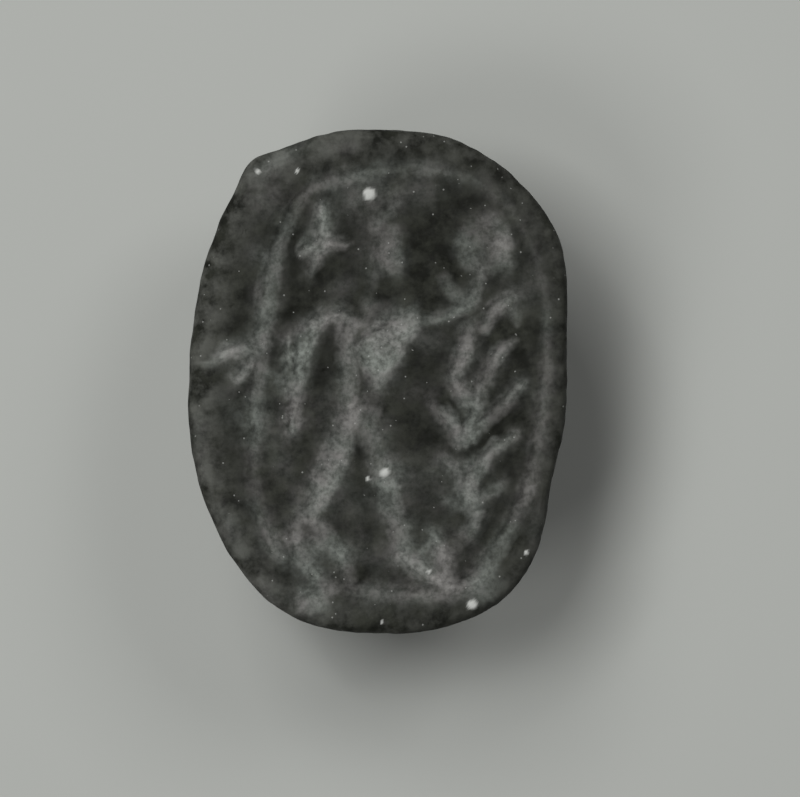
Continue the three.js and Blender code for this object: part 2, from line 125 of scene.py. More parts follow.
# Each stroke: start, pull, end, its width at each end, and its depth.
STROKES = {
    "neck": ((-0.1, 4.3), (-0.3, 3.3), (-0.5, 2.3), (0.36, 0.4), SHALLOW),
    "back": ((-1.2, 2.35), (-1.3, 0.65), (-1.0, -1.7), (0.62, 0.8), MIDDLING),
    "waist": ((0.2, 0.6), (-0.2, -0.8), (-0.7, -2.1), (0.85, 0.8), SHALLOW),
    "rear upper arm": ((-0.8, 2.3), (-2.1, 3.25), (-2.9, 1.6), (0.5, 0.6), DEEP),
    "rear forearm": ((-2.85, 1.8), (-3.1, 0.3), (-3.35, -1.95), (0.64, 0.42), DEEP),
    "sleeve": ((-3.5, 1.8), (-3.6, 0.7), (-3.3, -0.5), (0.34, 0.5), MIDDLING),
    "sling": ((-4.7, 0.7), (-4.1, 0.2), (-3.5, -0.4), (0.28, 0.34), SHALLOW),
    "front arm": ((1.5, 2.5), (2.9, 2.3), (3.75, 3.25), (0.4, 0.46), MIDDLING),
    "front hand": ((3.6, 3.0), (3.9, 3.6), (4.1, 4.4), (0.5, 0.3), MIDDLING),
    "thumb": ((2.7, 4.1), (2.9, 3.5), (3.5, 3.1), (0.4, 0.36), SHALLOW),
    "headdress": ((-0.1, 6.15), (0.3, 6.6), (0.8, 7.1), (0.6, 0.4), SHALLOW),
    "mark upright": ((-2.15, 6.9), (-2.1, 6.1), (-2.2, 5.4), (0.36, 0.56), DEEP),
    "mark bar": ((-2.85, 5.25), (-2.15, 5.65), (-1.2, 5.4), (0.56, 0.3), DEEP),
    "mark tail": ((-2.4, 5.4), (-2.4, 4.9), (-2.6, 4.3), (0.56, 0.3), MIDDLING),
    "branch head": ((3.65, 2.2), (3.6, 1.2), (2.95, 0.2), (0.6, 0.55), MIDDLING),
    "branch bend": ((2.95, 0.3), (3.1, -0.35), (3.9, -0.85), (0.52, 0.6), MIDDLING),
    "branch stem": ((4.0, -0.15), (4.0, -1.1), (3.3, -2.35), (0.5, 0.5), MIDDLING),
    "branch foot": ((3.7, -3.6), (3.3, -4.3), (3.85, -5.1), (0.6, 0.7), DEEP),
    "branch root": ((3.9, -4.9), (3.9, -5.4), (3.5, -6.0), (0.6, 0.34), MIDDLING),
    "tip leaf": ((4.15, 2.15), (4.4, 2.75), (5.15, 3.2), (0.5, 0.46), MIDDLING),
    "tip hook": ((4.95, 3.15), (5.4, 2.95), (5.5, 2.25), (0.4, 0.26), SHALLOW),
    "right leaf 1": ((5.45, 1.7), (4.5, 1.1), (4.3, 0.0), (0.32, 0.52), MIDDLING),
    "right leaf 2": ((5.65, -0.15), (4.9, -1.1), (3.3, -2.3), (0.34, 0.62), MIDDLING),
    "right leaf 3": ((5.35, -2.1), (4.2, -2.8), (3.75, -3.8), (0.34, 0.58), MIDDLING),
    "right leaf 4": ((4.9, -4.05), (4.4, -4.25), (3.95, -4.7), (0.3, 0.44), SHALLOW),
    "left leaf 2": ((2.3, -1.0), (3.0, -1.35), (3.3, -2.3), (0.4, 0.62), MIDDLING),
    "left leaf 3": ((2.65, -3.05), (3.1, -3.3), (3.5, -4.2), (0.34, 0.5), SHALLOW),
    "left leaf 4": ((2.7, -4.65), (3.2, -4.85), (3.7, -5.25), (0.26, 0.36), SHALLOW),
    "rear thigh": ((-1.0, -1.3), (-1.5, -2.7), (-2.1, -4.0), (0.9, 1.1), DEEP),
    "rear shin": ((-2.0, -3.7), (-2.25, -4.4), (-2.65, -5.35), (1.0, 0.7), DEEP),
    "front leg": ((-0.55, -1.9), (0.45, -3.7), (1.0, -6.9), (0.75, 0.78), MIDDLING),
    "rear heel": ((-2.9, -5.2), (-3.7, -6.4), (-2.5, -7.6), (0.6, 0.46), MIDDLING),
    "rear foot": ((-2.3, -5.6), (-1.5, -6.5), (-1.1, -7.8), (0.62, 0.5), MIDDLING),
    "front foot": ((0.95, -6.8), (1.6, -7.4), (2.85, -8.05), (0.66, 0.56), DEEP),
    "heel sliver": ((2.25, -6.05), (2.0, -6.5), (1.5, -6.95), (0.28, 0.42), SHALLOW),
    "heel wedge": ((2.25, -6.05), (2.75, -6.8), (2.7, -7.8), (0.38, 0.74), MIDDLING),
    "toe": ((2.8, -7.7), (3.1, -7.8), (3.5, -8.0), (0.5, 0.5), SHALLOW),
    "side chip": ((-6.75, 0.75), (-6.0, 1.3), (-4.7, 1.3), (0.3, 0.6), MIDDLING),
    "side chip fork": ((-4.75, 1.3), (-4.95, 0.6), (-5.5, 0.15), (0.46, 0.3), MIDDLING),
    "foot chip": ((-1.9, -8.2), (-2.4, -8.5), (-3.1, -8.8), (0.6, 0.6), SHALLOW),
}

# Round hollows: centre, half width, half length, tilt in degrees, depth.
HOLLOWS = {
    "disc": ((4.2, 5.4), 1.05, 1.2, 0, MIDDLING),
    "head": ((0.4, 5.2), 0.62, 1.03, 8, MIDDLING),
    "chip": ((-2.4, -8.65), 0.55, 0.45, 20, MIDDLING),
}

# Cut areas: the corners that the outline curves through, anticlockwise, and the depth.
CHEST = [
    (-0.7, 1.6), (-0.55, 0.5), (-0.1, -0.3), (0.35, -0.1), (0.8, 0.8),
    (1.2, 1.6), (1.75, 2.45), (1.4, 2.85), (0.5, 2.45),
]  # fmt: skip
ANKLE = [
    (-2.85, -5.2), (-3.35, -6.2), (-2.9, -6.95), (-2.2, -6.6),
    (-1.5, -6.9), (-1.8, -6.0), (-2.25, -5.3),
]  # fmt: skip
AREAS = [(CHEST, DEEP), (ANKLE, SHALLOW)]

CUT_LIP = 0.1  # how far a cut's worn lip reaches beyond its edge
WALL_SHARE = 0.85  # how much of a stroke's half width is its wall
FULL_DEPTH_GIRTH = 0.24  # a narrower half width is cut less deeply
AREA_WALL = 0.4  # how wide the wall of an area is, with its lip
HOLLOW_LIP, HOLLOW_WALL = 1.08, 0.7  # where a hollow ends, and its wall, as shares of its size

# ---- the pale dust on the face, in the cuts and round them ----
FILL = 0.5  # how deep the cuts are left by the dust that fills them, as a share
DUST_REACH, DUST_FADE = 0.3, 0.48  # how far the dust reaches beyond a cut's edge, and fades over
HAZE, HAZE_REACH = 0.24, 0.6  # the thin haze beyond that, as a share, and its reach
DUST_SHARE = {DEEP: 0.88, MIDDLING: 0.7, SHALLOW: 0.45}
BORDER_DUST = 0.72  # a millimetre's width of border holds this much
HOLLOW_DUST = 0.62  # how much of a stroke's dust a hollow of the same depth holds
GROOVE_DUST, GROOVE_FADE = 0.28, 0.4  # in the lines on the back, fading out up to the flank
DUST_EVEN = 0.95  # how much dust is left where the noise is nought
NEAR_MARGIN = 0.15  # how far a cut's edges and its dust can wander
SMUDGE_RAGGED = 2  # how much more ragged the patches below are than the dust's edge
# Patches where it lies thicker, or thinner: centre, half width, half length, tilt in degrees, share.
SMUDGES = [
    (-5.9, 1.1, 0.5, 0.4, 12, 0.3), (-6.9, 1.1, 0.5, 0.7, 0, -0.4), (-5.2, 0.5, 0.5, 0.4, 30, 0.18),
    (-6.3, 2.8, 0.5, 0.9, 0, -0.25), (-5.5, 6.3, 0.5, 0.6, 0, -0.15), (-5.8, -1.2, 0.7, 1.1, 10, 0.12),
    (-3.9, 8.7, 1.4, 0.35, 33, 0.4), (-1.5, 9.2, 0.8, 0.3, 8, 0.2), (-4.4, 7.2, 0.9, 0.6, 45, 0.28),
    (-0.6, 7.2, 1.1, 0.7, 0, 0.34), (1.6, 7.5, 0.9, 0.6, 0, 0.22), (-2.4, 5.5, 0.6, 0.7, -15, 0.4),
    (-4.8, 5.1, 0.4, 0.6, 0, 0.2), (-1.3, 5.4, 0.5, 0.4, 0, -0.4), (-3.0, 5.3, 0.35, 0.5, 0, -0.4),
    (-2.2, 4.5, 0.5, 0.4, 0, -0.25), (-0.1, 3.6, 0.6, 0.6, 0, -0.25), (-1.3, 3.7, 0.6, 0.4, 0, 0.2),
    (-0.6, 5.2, 0.5, 0.8, 0, 0.18), (0.4, 5.1, 0.5, 0.6, 0, 0.18), (4.95, 5.5, 0.35, 1.0, 8, 0.35),
    (0.3, 1.9, 0.5, 1.2, 0, 0.6), (2.1, 1.6, 0.6, 0.5, 0, 0.2), (1.8, -0.4, 0.9, 0.4, 0, 0.15),
    (-0.8, 2.4, 0.5, 0.4, 0, -0.25), (-1.4, 1.1, 0.4, 0.8, 0, -0.25), (-4.7, 1.6, 0.7, 0.5, 0, 0.2),
    (-4.4, 4.4, 0.4, 0.4, 0, -0.2), (1.7, 2.5, 0.8, 0.4, 0, -0.35), (2.7, 4.2, 0.6, 0.5, 0, -0.15),
    (5.5, 1.8, 0.7, 0.6, 0, -0.35), (3.8, 1.9, 0.4, 0.5, 0, -0.25), (4.4, 0.4, 0.3, 0.8, 0, -0.2),
    (4.9, 3.0, 0.5, 0.45, 30, 0.2), (5.9, 3.7, 0.5, 0.8, -15, 0.15), (4.0, 1.2, 0.3, 0.6, 0, 0.15),
    (4.7, -1.4, 0.6, 0.4, 30, -0.25), (4.6, -2.3, 0.6, 0.4, 20, -0.25), (2.5, -1.0, 0.6, 0.4, 0, -0.25),
    (3.3, -2.5, 0.4, 0.4, 0, -0.25), (-2.0, -1.3, 0.6, 0.9, 0, 0.16), (-4.5, -1.6, 0.8, 0.9, 0, 0.22),
    (-3.1, -0.9, 0.3, 0.6, 0, -0.3), (0.0, -0.8, 0.4, 0.4, 0, -0.35), (-0.6, -2.2, 0.5, 0.8, 0, -0.25),
    (0.4, -2.0, 0.4, 0.6, 0, 0.2), (0.9, -3.5, 0.4, 0.7, 15, 0.25), (0.1, -3.5, 0.35, 0.6, 0, -0.25),
    (3.2, -3.5, 1.1, 0.5, 0, 0.25), (1.9, -4.5, 1.2, 1.4, 0, 0.1), (3.7, -5.0, 0.45, 0.45, 0, -0.55),
    (-3.1, -4.5, 0.5, 0.8, 0, 0.18), (-3.8, -3.2, 0.6, 0.7, 0, 0.2), (-1.2, -5.0, 0.9, 0.8, 0, 0.14),
    (-2.9, -5.7, 0.5, 0.4, 0, -0.35), (-1.9, -6.0, 0.5, 0.4, 0, -0.3), (-2.3, -6.8, 0.5, 0.5, 0, 0.2),
    (-0.9, -7.6, 0.5, 0.4, 0, -0.45), (-0.6, -6.9, 1.0, 0.8, 0, 0.2), (-3.0, -7.3, 0.5, 0.4, 0, -0.2),
    (-4.0, -6.1, 0.6, 0.9, 20, 0.2), (2.2, -7.2, 0.35, 0.6, 0, 0.3), (3.3, -6.5, 0.5, 0.5, 0, 0.2),
    (0.0, -8.3, 1.6, 0.5, 0, 0.18), (-2.6, -8.3, 0.6, 0.5, 0, 0.35), (4.2, -8.2, 0.7, 0.5, 20, 0.35),
    (5.4, -6.7, 0.5, 0.7, -20, -0.25), (6.0, -4.2, 0.3, 0.8, -10, 0.25), (6.3, -6.0, 0.4, 0.9, -12, 0.2),
    (-5.8, -5.8, 0.4, 1.0, 25, 0.25), (-7.0, -2.6, 0.3, 1.3, 5, 0.25), (-4.2, -8.4, 0.9, 0.4, -35, 0.22),
]  # fmt: skip

# Pale grains of lime stuck to the face: x, y, radius.
LIME_GRAINS = [
    (-0.3, 7.4, 0.26), (0.3, -3.6, 0.19), (3.75, -8.8, 0.21), (-0.35, -3.85, 0.1), (-4.7, 8.3, 0.12),
    (-3.15, 8.3, 0.09), (5.9, -6.75, 0.1), (2.05, -7.5, 0.08), (0.2, -9.5, 0.07),
]  # fmt: skip

GRAIN_HEIGHT = 0.07
GRAIN_EDGE, GRAIN_FADE = 1.15, 0.5  # where a grain ends, and how soft its edge is, in its radii

# ---- unevenness of the form: layers of noise, each a strength, the size of its lumps and a seed ----
SIDE_NOISE = ((0.045, 1.1, 61), (0.0225, 0.4, 62))  # of the plinth's side, in and out
SWELL_NOISE = ((0.03, 3.5, 21), (0.018, 1.1, 22))  # of the face's height
TOOTH_NOISE = ((0.01, 0.35, 23), (0.006, 0.16, 24))  # finer, of the same
BEETLE_NOISE = ((0.03, 1.3, 51), (0.02, 0.5, 52))  # of the beetle's skin
WANDER_NOISE = ((0.07, 0.45, 11), (0.03, 0.16, 13))  # of the cuts' edges, with the next seed for y
DEPTH_NOISE = ((0.2, 0.5, 15), (0.16, 0.2, 16))  # of the cuts' depth, as shares
RAGGED_NOISE = ((0.07, 0.5, 18), (0.07, 0.22, 19))  # of the edge of the dust
DUST_NOISE = ((0.25, 1.2, 20),)  # of how thick the dust lies, as a share
GRAIN_NOISE = ((0.15, 0.12, 17),)  # of a grain's edge, in its radii

# Small round pits in the face, in layers: the grid's spacing, a pit's radius, its depth and a seed.
PITS = ((0.9, 0.16, 0.06, 31), (0.4, 0.08, 0.03, 41))
PIT_SIZE, PIT_SIZE_SPREAD = 0.6, 0.4  # as shares of that radius
PIT_JOG = 0.4  # how far a pit is off its square's middle, in squares
PIT_EDGE = 1.2  # where a pit ends, in its radii
PIT_RARITY = 0.2  # from -1, a pit in each square, to 1, none

# How far below the face its relief, its dust and its lime fade out, and over what height.
RELIEF_ZONE, DUST_ZONE, LIME_ZONE = (0.55, 0.4), (1.3, 0.3), (0.5, 0.2)

# The face is rubbed pale along its edge, and painted light makes it paler still on the side the lamps
# shine from: how far in, the bearing where most, and the least share, on the far side.
WORN_REACH, LIT_EDGE_BEARING, WORN_LEAST = 2.2, 170, 0.35

# ---- the look ----
STONE_DARK = (0.0082, 0.0088, 0.0062)
STONE_PALE = (0.036, 0.038, 0.0295)
# The rubbed edge's pale, which on the lamps' side is also painted light.
RUBBED_AND_LIT = (0.125, 0.128, 0.114)
DUST = (0.31, 0.335, 0.305)
DUST_WARM = (0.295, 0.288, 0.275)
LIME = (0.6, 0.61, 0.58)
FLOOR_GREY = (0.53, 0.545, 0.517)
FLOOR_HALF, FLOOR_ROUGHNESS = 1.5, 0.9  # the floor's half width is in metres

# Each pattern: noise with lumps of so many millimetres, its detail and roughness, and the range of
# it that is drawn out to another range.
BLOTCH = (2.4, 2.0, 0.5, (0.38, 0.62), (0.0, 1.0))
MOTTLE = (0.75, 6.0, 0.62, (0.4, 0.63), (0.0, 1.0))
RUB = (0.9, 6.0, 0.62, (0.4, 0.64), (0.0, 0.9))
PATCHY = (0.8, 6.0, 0.6, (0.35, 0.58), (0.45, 1.0))
GRAINY = (0.2, 3.0, 0.6, (0.3, 0.6), (0.6, 1.0))
WARMTH = (1.6, 3.0, 0.55, (0.4, 0.6), (0.0, 1.0))
SHEEN = (0.5, 4.0, 0.55, (0.3, 0.7), (0.6, 0.85))
BLOTCH_SHARE = 0.6  # how much of the stone's tone the blotches sway
SPECULAR = 0.16

# Pinpoint specks: millimetres apart, their size as a share of that, the noise that chooses among
# them, above which value, and how much they show.
SPECK_SPACING, SPECK_SIZE = 0.35, 0.1
SPECK_NOISE, SPECK_ABOVE, SPECK_SHARE = (0.3, 0.0, 0.55), 0.55, 0.35

BUMP_NOISE, BUMP_STRENGTH, BUMP_HEIGHT = (0.14, 6.0, 0.7), 0.4, 0.05

# Each lamp: its bearing and rise above the floor, in degrees, and its watts.
LAMPS = [
    ("key", 150, 67, 0.95),
    ("upper left", 118, 52, 0.5),
    ("lower left", 215, 55, 0.4),
    ("right", 45, 50, 0.42),
]
LAMP_DISTANCE, LAMP_SIZE = 0.5, 0.18  # in metres
AMBIENT = 0.03

# The view, in the stone's millimetres: what it takes in across at the face, where its middle is from
# the stone's axis, and how far above the face the camera is.
FRAME_WIDTH = 31.56
FRAME_MIDDLE = (0.91, -0.67)
CAMERA_HEIGHT = 420.0

low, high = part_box("scarab")
MM = (high.z - low.z) / HEIGHT  # metres in one of the millimetres above


# ---- noise ----
HASH_CELL = (73856093, 19349663, 83492791)  # large primes and odd numbers, which scatter their products
HASH_SEED, HASH_MIX = 2654435761, 1274126177


def scramble(cells, seed):
    """A repeatable number from -1 to 1 for each whole-numbered cell."""
    across, length, up = (cells[..., axis] * HASH_CELL[axis] for axis in range(3))
    key = across ^ length ^ up ^ seed * HASH_SEED
    key = (key ^ (key >> 13)) * HASH_MIX
    key = key ^ (key >> 16)
    return (key & 0xFFFF) / 32767.5 - 1


def noise(points, size, seed):
    """Smooth noise from -1 to 1 at points, with lumps of about the given size."""
    cells = np.floor(points / size).astype(np.int64)
    part = points / size - cells
    part = part * part * (3 - 2 * part)
    total = np.zeros(len(points))
    for corner in product((0, 1), repeat=3):
        weight = np.prod(np.where(corner, part, 1 - part), axis=1)
        total += weight * scramble(cells + np.array(corner), seed)
    return total


def layered(points, layers):
    """Several noises added up, each given as its strength, the size of its lumps and its seed."""
    return sum(strength * noise(points, size, seed) for strength, size, seed in layers)


def smooth_step(value):
    """Rises from 0 to 1 with soft ends, as the value does."""
    value = np.clip(value, 0, 1)
    return value * value * (3 - 2 * value)


def in_zone(z, zone):
    """1 at the face, 0 further below it than the zone, at heights z."""
    drop, fade = zone
    return smooth_step((z - (HEIGHT - drop)) / fade)


def on_plane(plan):
    """Plan points as points in space."""
    return np.column_stack([plan, np.zeros(len(plan))])


# ---- the outline ----
def superellipse(angle, half_width, half_length, squareness):
    across = np.abs(np.cos(angle) / half_width) ** squareness
    length = np.abs(np.sin(angle) / half_length) ** squareness
    return (across + length) ** (-1 / squareness)


def rim(angle):
    """How far the rim is from the stone's axis, at bearings in radians."""
    radius = superellipse(angle, HALF_WIDTH, HALF_LENGTH, SQUARENESS)
    for at, by, over in OUTLINE_SWELLS:
        away = (np.degrees(angle) - at + 180) % 360 - 180
        radius = radius + by * np.exp(-((away / over) ** 2))
    return radius


def edge_width(angle):
    """How wide the face's worn edge is, at bearings in radians."""
    facing = np.maximum(0, np.cos(angle - math.radians(EDGE_TOWARDS)))
    return EDGE_LEAST + (EDGE_MOST - EDGE_LEAST) * facing**EDGE_FOCUS


def edge_drop(angle):
    return EDGE_DROP + EDGE_DROP_SHARE * edge_width(angle)


# ---- the engraving ----
def along(points, spine, half):
    """How far points are outside a line of varying half width, and that half width there."""
    outside = np.full(len(points), np.inf)
    girth = np.zeros(len(points))
    for i in range(len(spine) - 1):
        step = spine[i + 1] - spine[i]
        share = np.clip((points - spine[i]) @ step / (step @ step), 0, 1)
        width = half[i] + (half[i + 1] - half[i]) * share
        away = np.linalg.norm(points - spine[i] - share[:, None] * step, axis=1) - width
        better = away < outside
        outside[better], girth[better] = away[better], width[better]
    return outside, girth


def pulled_curve(start, pull, end, steps=12):
    """Points on a curve from a start to an end, pulled towards a third point."""
    share = np.linspace(0, 1, steps + 1)[:, None]
    start, pull, end = np.array(start), np.array(pull), np.array(end)
    return (1 - share) ** 2 * start + 2 * share * (1 - share) * pull + share**2 * end


def closed_curve(corners, steps=6):
    """A smooth curve through the corners, each a row of numbers, that ends where it starts."""
    knots = np.array(corners, float)
    share = np.linspace(0, 1, steps, endpoint=False)[:, None]
    before, after, beyond = np.roll(knots, 1, 0), np.roll(knots, -1, 0), np.roll(knots, -2, 0)
    pieces = []
    for a, b, c, d in zip(before, knots, after, beyond):
        bend = (2 * a - 5 * b + 4 * c - d) * share**2 + (3 * b - a - 3 * c + d) * share**3
        pieces.append(b + 0.5 * ((c - a) * share + bend))
    return np.concatenate([*pieces, pieces[0][:1]])


def trough(outside, girth):
    """The wall and floor of a cut, from just beyond its edge to its middle."""
    return smooth_step((CUT_LIP - outside) / (CUT_LIP + WALL_SHARE * girth))


def near_mask(points, spine, reach):
    """Which points are in the box round a line, widened by the reach."""
    return np.all((points > spine.min(0) - reach) & (points < spine.max(0) + reach), axis=1)


class Cuts:
    """How deep the face is cut at plan points, and how thickly pale dust lies in and round the cuts."""

    def __init__(self, plan):
        flat = on_plane(plan)
        self.points = plan
        for strength, size, seed in WANDER_NOISE:
            wander = np.column_stack([noise(flat, size, seed), noise(flat, size, seed + 1)])
            self.points = self.points + strength * wander
        self.ragged = layered(flat, RAGGED_NOISE)
        self.depth = np.zeros(len(plan))
        self.dust = np.zeros(len(plan))
        for start, pull, end, widths, deep in STROKES.values():
            spine = pulled_curve(start, pull, end)
            self.line(spine, np.linspace(widths[0], widths[1], len(spine)) / 2, deep, DUST_SHARE[deep])
        border = closed_curve(BORDER)
        for piece in np.stack([border[:-1], border[1:]], axis=1):
            width = piece[0, 2]
            depth, share = BORDER_DEPTH_SHARE * width, min(1, BORDER_DUST * width)
            self.line(piece[:, :2], piece[:, 2] / 2, depth, share)
        for hollow in HOLLOWS.values():
            self.hollow(*hollow)
        for corners, deep in AREAS:
            self.area(corners, deep)
        self.dust *= DUST_EVEN + layered(flat, DUST_NOISE)
        for smudge in SMUDGES:
            self.smudge(*smudge)
        self.dust = np.clip(self.dust, 0, 1)
        self.depth *= 1 + layered(flat, DEPTH_NOISE)

    def powder(self, outside, where, share):
        """Dust fills a cut, and thins out beyond its edge, leaving a haze round it."""
        outside = outside - self.ragged[where]
        core = smooth_step((DUST_REACH - outside) / DUST_FADE)
        haze = HAZE * smooth_step((HAZE_REACH - outside) / HAZE_REACH)
        self.dust[where] = np.maximum(self.dust[where], share * np.maximum(core, haze))

    def dig(self, depth, where):
        """A cut leaves what is already cut more deeply as it is."""
        self.depth[where] = np.maximum(self.depth[where], depth)

    def line(self, spine, half, deep, share):
        """A stroke along a spine, with a half width at each of its points."""
        near = near_mask(self.points, spine, max(half) + HAZE_REACH + NEAR_MARGIN)
        outside, girth = along(self.points[near], spine, half)
        self.dig(deep * np.minimum(1, girth / FULL_DEPTH_GIRTH) * trough(outside, girth), near)
        self.powder(outside, near, share)

    def hollow(self, centre, half_width, half_length, tilt, deep):
        reach = self.reach(centre, half_width, half_length, tilt)
        self.dig(deep * smooth_step((HOLLOW_LIP - reach) / HOLLOW_WALL), slice(None))
        self.powder((reach - 1) * half_width, slice(None), HOLLOW_DUST * DUST_SHARE[deep])

    def smudge(self, x, y, half_width, half_length, tilt, share):
        """Adds a soft patch of dust, or takes one away where the share is negative."""
        reach = self.reach((x, y), half_width, half_length, tilt)
        self.dust += share * np.exp(-((reach - SMUDGE_RAGGED * self.ragged) ** 2))

    def reach(self, centre, half_width, half_length, tilt):
        """How far the points are from a tilted oval's centre, with 1 on its rim."""
        turn = math.radians(tilt)
        away = self.points - np.array(centre)
        across = away[:, 0] * math.cos(turn) + away[:, 1] * math.sin(turn)
        length = away[:, 1] * math.cos(turn) - away[:, 0] * math.sin(turn)
        return np.hypot(across / half_width, length / half_length)

    def area(self, corners, deep):
        """A cut area. A point is inside where a line from it to the right meets the edge an odd
        number of times."""
        loop = closed_curve(corners, 4)
        near = near_mask(self.points, loop, HAZE_REACH + NEAR_MARGIN)
        spots = self.points[near]
        outside = along(spots, loop, np.zeros(len(loop)))[0]
        inside = np.zeros(len(spots), bool)
        for a, b in zip(loop[:-1], loop[1:]):
            spans = (a[1] > spots[:, 1]) != (b[1] > spots[:, 1])
            if a[1] != b[1]:
                crossing = (b[0] - a[0]) * (spots[:, 1] - a[1]) / (b[1] - a[1]) + a[0]
                inside ^= spans & (spots[:, 0] < crossing)
        outside = np.where(inside, -outside, outside)
        self.dig(deep * smooth_step((CUT_LIP - outside) / AREA_WALL), near)
        self.powder(outside, near, DUST_SHARE[deep])


def grains(plan):
    """How far each plan point is inside a lime grain, from 0 to 1."""
    inside = np.zeros(len(plan))
    wobble = layered(on_plane(plan), GRAIN_NOISE)
    for x, y, radius in LIME_GRAINS:
        away = np.hypot(plan[:, 0] - x, plan[:, 1] - y) / radius
        inside = np.maximum(inside, smooth_step((GRAIN_EDGE - away + wobble) / GRAIN_FADE))
    return inside


def pits(plan, spacing, radius, depth, seed):
    """Small round pits, one in some of the squares of a grid."""
    squares = np.floor(plan / spacing).astype(np.int64)
    deepest = np.zeros(len(plan))
    for step in product((-1, 0, 1), repeat=2):
        cell = np.column_stack([squares + np.array(step), np.zeros(len(plan), np.int64)])
        jog = np.column_stack([scramble(cell, seed), scramble(cell, seed + 1)])
        size = radius * (PIT_SIZE + PIT_SIZE_SPREAD * scramble(cell, seed + 2))
        centre = (cell[:, :2] + 0.5 + PIT_JOG * jog) * spacing
        away = np.linalg.norm(plan - centre, axis=1) / np.maximum(size, 1e-3)
        chosen = scramble(cell, seed + 3) > PIT_RARITY
        deepest = np.maximum(deepest, np.where(chosen, smooth_step(PIT_EDGE - away), 0))
    return depth * deepest


def relief(plan):
    """The face's height above its plane."""
    flat = on_plane(plan)
    rough = layered(flat, SWELL_NOISE) + layered(flat, TOOTH_NOISE)
    worn = sum(pits(plan, *layer) for layer in PITS)
    return rough - worn - FILL * Cuts(plan).depth + GRAIN_HEIGHT * grains(plan)


# ---- the plinth ----
def face_grid():
    """The face's plan points, as a square grid drawn out to the oval of the face's edge."""
    across = np.linspace(-1, 1, FACE_GRID[0])
    length = np.linspace(-1, 1, FACE_GRID[1])
    u, v = np.meshgrid(across, length, indexing="ij")
    x = u * np.sqrt(1 - v * v / 2)
    y = v * np.sqrt(1 - u * u / 2)
    angle = np.arctan2(y, x)
    radius = np.hypot(x, y) * (rim(angle) - edge_width(angle))
    return np.column_stack([(radius * np.cos(angle)).ravel(), (radius * np.sin(angle)).ravel()])


def grid_faces():
    """The face grid's squares, as the numbers of their corners, anticlockwise."""
    wide, long = FACE_GRID
    index = np.arange(wide * long).reshape(wide, long)
    corners = [index[:-1, :-1], index[1:, :-1], index[1:, 1:], index[:-1, 1:]]
    return np.stack([c.ravel() for c in corners], axis=1)


def grid_border():
    """The face grid's outer points, anticlockwise."""
    wide, long = FACE_GRID
    index = np.arange(wide * long).reshape(wide, long)
    return np.concatenate([index[:-1, 0], index[-1, :-1], index[:0:-1, -1], index[0, :0:-1]])


def plinth_profile(angle):
    """Each ring below the face's edge, as its inset from the rim and its height, at each bearing."""
    width, drop = edge_width(angle), edge_drop(angle)
    bottom = HEIGHT - PLINTH_THICK
    level = np.ones_like(angle)
    rings = []
    for turn in np.linspace(0, math.pi / 2, EDGE_RINGS + 1)[1:]:
        rings.append((width * (1 - math.sin(turn)), HEIGHT - drop * (1 - math.cos(turn))))
    for share in np.linspace(0, 1, SIDE_RINGS + 1)[1:]:
        z = HEIGHT - drop + share * (bottom + PLINTH_FOOT - HEIGHT + drop)
        rings.append((SIDE_TAPER * share * level, z))
    for turn in np.linspace(0, math.pi / 2, FOOT_RINGS + 1)[1:]:
        inset = SIDE_TAPER + PLINTH_FOOT * (1 - math.cos(turn))
        rings.append((inset * level, (bottom + PLINTH_FOOT * (1 - math.sin(turn))) * level))
    for inset, below in UNDERSIDE:
        rings.append((inset * level, (bottom - below) * level))
    return rings


def plinth():
    """The plinth's points and faces: the engraved face, its worn edge, the side and the underside."""
    plan = face_grid()
    points = [np.column_stack([plan, HEIGHT + relief(plan)])]
    faces = [grid_faces()]
    border = grid_border()
    angle = np.arctan2(plan[border, 1], plan[border, 0])
    last = border
    count = len(plan)
    for inset, z in plinth_profile(angle):
        ring = np.column_stack([np.cos(angle), np.sin(angle), z])
        ring[:, :2] *= (rim(angle) - inset)[:, None]
        uneven = layered(ring, SIDE_NOISE)
        ring[:, :2] *= (1 + uneven / (rim(angle) - inset))[:, None]
        ring[:, 2] += in_zone(z, RELIEF_ZONE) * relief(ring[:, :2])
        this = np.arange(count, count + len(ring))
        faces.append(np.stack([last, this, np.roll(this, -1), np.roll(last, -1)], axis=1))
        points.append(ring)
        last = this
        count += len(ring)
    points = np.vstack([*points, [[0, 0, HEIGHT - PLINTH_THICK - UNDERSIDE[-1][1]]]])
    fan = [(a, count, b) for a, b in zip(last, np.roll(last, -1))]
    return points, np.concatenate(faces).tolist() + fan


# ---- the beetle ----
def smooth_min(a, b, blend):
    """The lesser of two distances, with the crease between their forms filled."""
    share = np.clip(0.5 + 0.5 * (b - a) / blend, 0, 1)
    return b + (a - b) * share - blend * share * (1 - share)


def smooth_max(a, b, blend):
    return -smooth_min(-a, -b, blend)


def back_lines(x, y):
    """How deep the lines on the back are cut: prothorax, the wing cases' suture, and the shoulders."""
    line_y = PROTHORAX_Y - PROTHORAX_BOW * (x / PROTHORAX_REACH) ** 2
    suture = np.hypot(x, np.maximum(0, y - line_y))
    plan = np.column_stack([np.abs(x), y])
    spine = pulled_curve(*SHOULDER)
    shoulder = along(plan, spine, np.zeros(len(spine)))[0]
    nearest = np.minimum.reduce([np.abs(y - line_y), suture, shoulder])
    return BACK_LINE_DEPTH * smooth_step(BACK_LINE_END - nearest / BACK_LINE_HALF)


